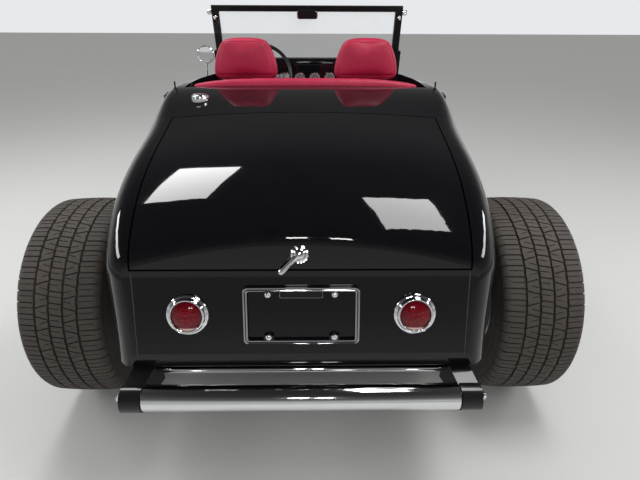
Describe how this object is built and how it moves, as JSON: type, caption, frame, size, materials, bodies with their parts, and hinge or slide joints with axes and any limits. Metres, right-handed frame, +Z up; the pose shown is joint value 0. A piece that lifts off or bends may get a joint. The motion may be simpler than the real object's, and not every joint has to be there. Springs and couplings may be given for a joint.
{
  "type": "open roadster",
  "caption": "Fenderless open two-seat roadster with a smooth deck lid, wide rear tyres, bucket seats, tube bumper, round tail lamps and a tall grille shell.",
  "frame": {"origin": "on the ground under the middle of the car's length and width", "axes": "+Y towards the front, +X to the car's right, +Z up"},
  "size_m": [1.8208, 3.6229, 1.3772],
  "materials": {
    "body_black": "deep gloss",
    "frame_black": "satin",
    "chrome": "polished",
    "wheel_metal": "polished",
    "tyre": "matt",
    "red_leather": "satin grain",
    "carpet": "pile",
    "clear_glass": "clear",
    "ruby_glass": "moulded",
    "gauge_face": "gloss",
    "cast_metal": "painted casting",
    "core": "matt black fins"
  },
  "bodies": {
    "chassis": {"tulip_panel": "body_black", "tail_panel": "body_black", "cowl": "body_black", "quarter_panels": "body_black", "hood_sides": "body_black", "grille_shell": "body_black", "grille_bars": "chrome", "radiator": "core", "frame_rails": "frame_black", "bumper_bars": "chrome", "floor_pan": "carpet", "windshield_frame": "frame_black", "windshield_glass": "clear_glass", "dash": "body_black", "gauges": "gauge_face", "steering_column": "frame_black", "controls": "frame_black", "seats": "red_leather", "tail_lamp_bezels": "chrome", "tail_lamp_lenses": "ruby_glass", "licence_frame": "frame_black", "fuel_cap": "chrome", "headlamps": "chrome", "headlamp_lenses": "clear_glass", "rear_axle": "frame_black", "driveline": "cast_metal", "front_axle": "frame_black", "front_spring": "frame_black", "suspension_links": "chrome", "dampers": "chrome", "exhaust": "wheel_metal"},
    "deck_lid": {"deck_lid": "body_black", "deck_handle": "chrome"},
    "door_left": {"door_left": "body_black", "side_mirror": "chrome"},
    "door_right": {"door_right": "body_black"},
    "hood_left": {"hood_top_left": "body_black"},
    "hood_right": {"hood_top_right": "body_black"},
    "steering_wheel": {"steering_wheel": "frame_black"},
    "knuckle_left": {"knuckle_left": "frame_black"},
    "knuckle_right": {"knuckle_right": "frame_black"},
    "tie_rod": {"tie_rod": "chrome"},
    "wheel_rear_left": {"tyre_rear_left": "tyre", "wheel_rear_left": "wheel_metal"},
    "wheel_rear_right": {"tyre_rear_right": "tyre", "wheel_rear_right": "wheel_metal"},
    "wheel_front_left": {"tyre_front_left": "tyre", "wheel_front_left": "wheel_metal"},
    "wheel_front_right": {"tyre_front_right": "tyre", "wheel_front_right": "wheel_metal"}
  },
  "joints": [
    {"name": "rear_wheel_left_spin", "type": "hinge", "parent": "chassis", "child": "wheel_rear_left", "pos_m": [-0.7725, -1.196, 0.366], "axis": [1, 0, 0], "continuous": true},
    {"name": "steer_left", "type": "hinge", "parent": "chassis", "child": "knuckle_left", "pos_m": [-0.586, 1.496, 0.315], "axis": [0, 0, 1], "range_deg": [-28, 28]},
    {"name": "front_wheel_left_spin", "type": "hinge", "parent": "knuckle_left", "child": "wheel_front_left", "pos_m": [-0.71, 1.496, 0.315], "axis": [1, 0, 0], "continuous": true},
    {"name": "rear_wheel_right_spin", "type": "hinge", "parent": "chassis", "child": "wheel_rear_right", "pos_m": [0.7725, -1.196, 0.366], "axis": [1, 0, 0], "continuous": true},
    {"name": "steer_right", "type": "hinge", "parent": "chassis", "child": "knuckle_right", "pos_m": [0.586, 1.496, 0.315], "axis": [0, 0, 1], "range_deg": [-28, 28]},
    {"name": "front_wheel_right_spin", "type": "hinge", "parent": "knuckle_right", "child": "wheel_front_right", "pos_m": [0.71, 1.496, 0.315], "axis": [1, 0, 0], "continuous": true},
    {"name": "tie_rod_pivot", "type": "hinge", "parent": "knuckle_left", "child": "tie_rod", "pos_m": [-0.586, 1.356, 0.18], "axis": [0, 0, 1], "range_deg": [-28, 28]},
    {"name": "steering_wheel_turn", "type": "hinge", "parent": "chassis", "child": "steering_wheel", "pos_m": [-0.272, -0.089, 1.03], "axis": [0, -0.848, 0.5299], "range_deg": [-420, 420]},
    {"name": "door_left_hinge", "type": "hinge", "parent": "chassis", "child": "door_left", "pos_m": [-0.59, 0.1265, 0.75], "axis": [0, 0, -1], "range_deg": [0, 65]},
    {"name": "door_right_hinge", "type": "hinge", "parent": "chassis", "child": "door_right", "pos_m": [0.59, 0.1265, 0.75], "axis": [0, 0, 1], "range_deg": [0, 65]},
    {"name": "deck_lid_hinge", "type": "hinge", "parent": "chassis", "child": "deck_lid", "pos_m": [0, -0.976, 1.012], "axis": [-1, 0, 0], "range_deg": [0, 60]},
    {"name": "hood_left_hinge", "type": "hinge", "parent": "chassis", "child": "hood_left", "pos_m": [0, 0.964, 1.0225], "axis": [0, 0.9986, -0.0523], "range_deg": [0, 78]},
    {"name": "hood_right_hinge", "type": "hinge", "parent": "chassis", "child": "hood_right", "pos_m": [0, 0.964, 1.0225], "axis": [0, -0.9986, 0.0523], "range_deg": [0, 78]}
  ],
  "couplings": [
    {"joint": "steer_right", "follows": "steer_left", "ratio": 1},
    {"joint": "tie_rod_pivot", "follows": "steer_left", "ratio": -1},
    {"joint": "steering_wheel_turn", "follows": "steer_left", "ratio": 15}
  ]
}
